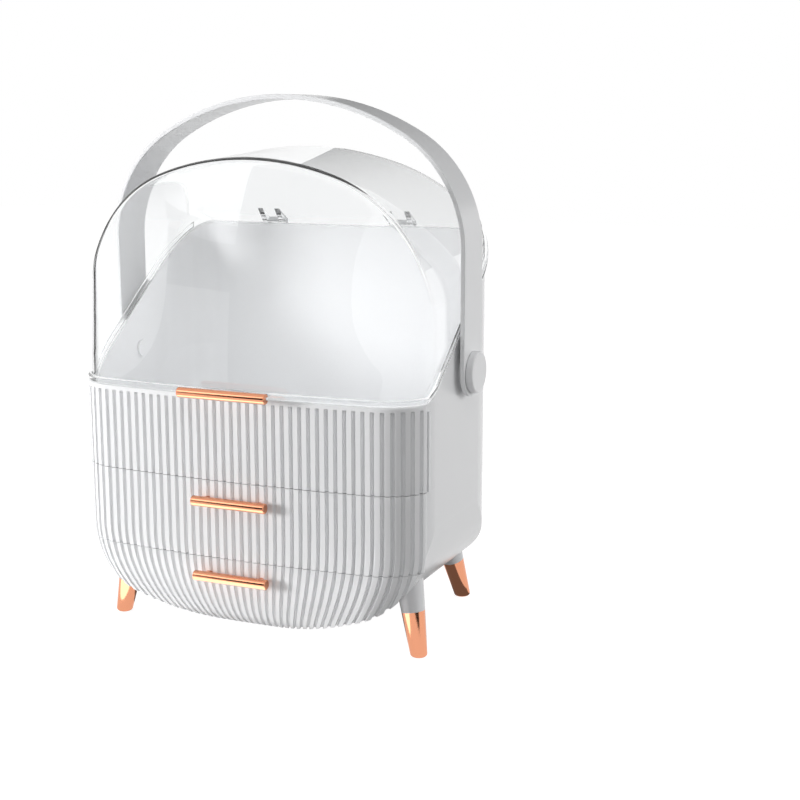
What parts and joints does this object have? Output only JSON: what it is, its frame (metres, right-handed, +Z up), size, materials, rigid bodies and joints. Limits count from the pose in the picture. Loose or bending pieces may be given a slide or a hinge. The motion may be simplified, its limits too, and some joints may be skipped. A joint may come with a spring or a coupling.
{
  "type": "makeup organizer",
  "caption": "Egg-shaped makeup organizer: clear flip-up hood over a tub, ribbed drawers in a round-bottomed cabinet, arched carry handle, splayed legs with metal caps.",
  "frame": {"origin": "on the floor, below the middle of the object's box at rest, hood and drawers closed, handle upright", "axes": "+Z up, -Y towards the ribbed front with the pulls, +X to the right of a person who faces the front"},
  "size_m": [0.3046, 0.2069, 0.4025],
  "materials": {
    "white_plastic": "smooth white moulded plastic, soft gloss",
    "clear_acrylic": "clear moulded acrylic, polished",
    "rose_gold": "polished rose-gold plating",
    "steel": "plain zinc-plated steel"
  },
  "bodies": {
    "case": {"upper_tub": "white_plastic", "tub_screws": "steel", "lower_cabinet": "white_plastic", "middle_shelf": "white_plastic", "leg_front_left": "white_plastic", "leg_front_right": "white_plastic", "leg_rear_left": "white_plastic", "leg_rear_right": "white_plastic", "leg_cap_front_left": "rose_gold", "leg_cap_front_right": "rose_gold", "leg_cap_rear_left": "rose_gold", "leg_cap_rear_right": "rose_gold", "hinge_pins": "white_plastic", "pivot_pins": "white_plastic", "pivot_screws": "white_plastic", "pivot_cap_left": "white_plastic", "pivot_cap_right": "white_plastic"},
    "hood": {"hood": "clear_acrylic", "hood_pull": "rose_gold"},
    "handle": {"carry_handle": "white_plastic"},
    "drawer_1": {"drawer_1_front": "white_plastic", "drawer_1_tray": "white_plastic", "drawer_1_pull": "rose_gold", "drawer_1_front_screws": "steel", "drawer_1_pull_screws": "steel"},
    "drawer_2": {"drawer_2_front": "white_plastic", "drawer_2_tray": "white_plastic", "drawer_2_pull": "rose_gold", "drawer_2_front_screws": "steel", "drawer_2_pull_screws": "steel"}
  },
  "joints": [
    {"name": "hood_hinge", "type": "hinge", "parent": "case", "child": "hood", "pos_m": [0, 0.0904, 0.303], "axis": [-1, 0, 0], "range_deg": [0, 95]},
    {"name": "handle_swing", "type": "hinge", "parent": "case", "child": "handle", "pos_m": [0, 0.009, 0.2036], "axis": [-1, 0, 0], "range_deg": [0, 85.5]},
    {"name": "drawer_1_slide", "type": "slide", "parent": "case", "child": "drawer_1", "axis": [0, -1, 0], "range_m": [0, 0.1]},
    {"name": "drawer_2_slide", "type": "slide", "parent": "case", "child": "drawer_2", "axis": [0, -1, 0], "range_m": [0, 0.1]}
  ],
  "couplings": [
    {"joint": "handle_swing", "follows": "hood_hinge", "ratio": 0.9}
  ]
}
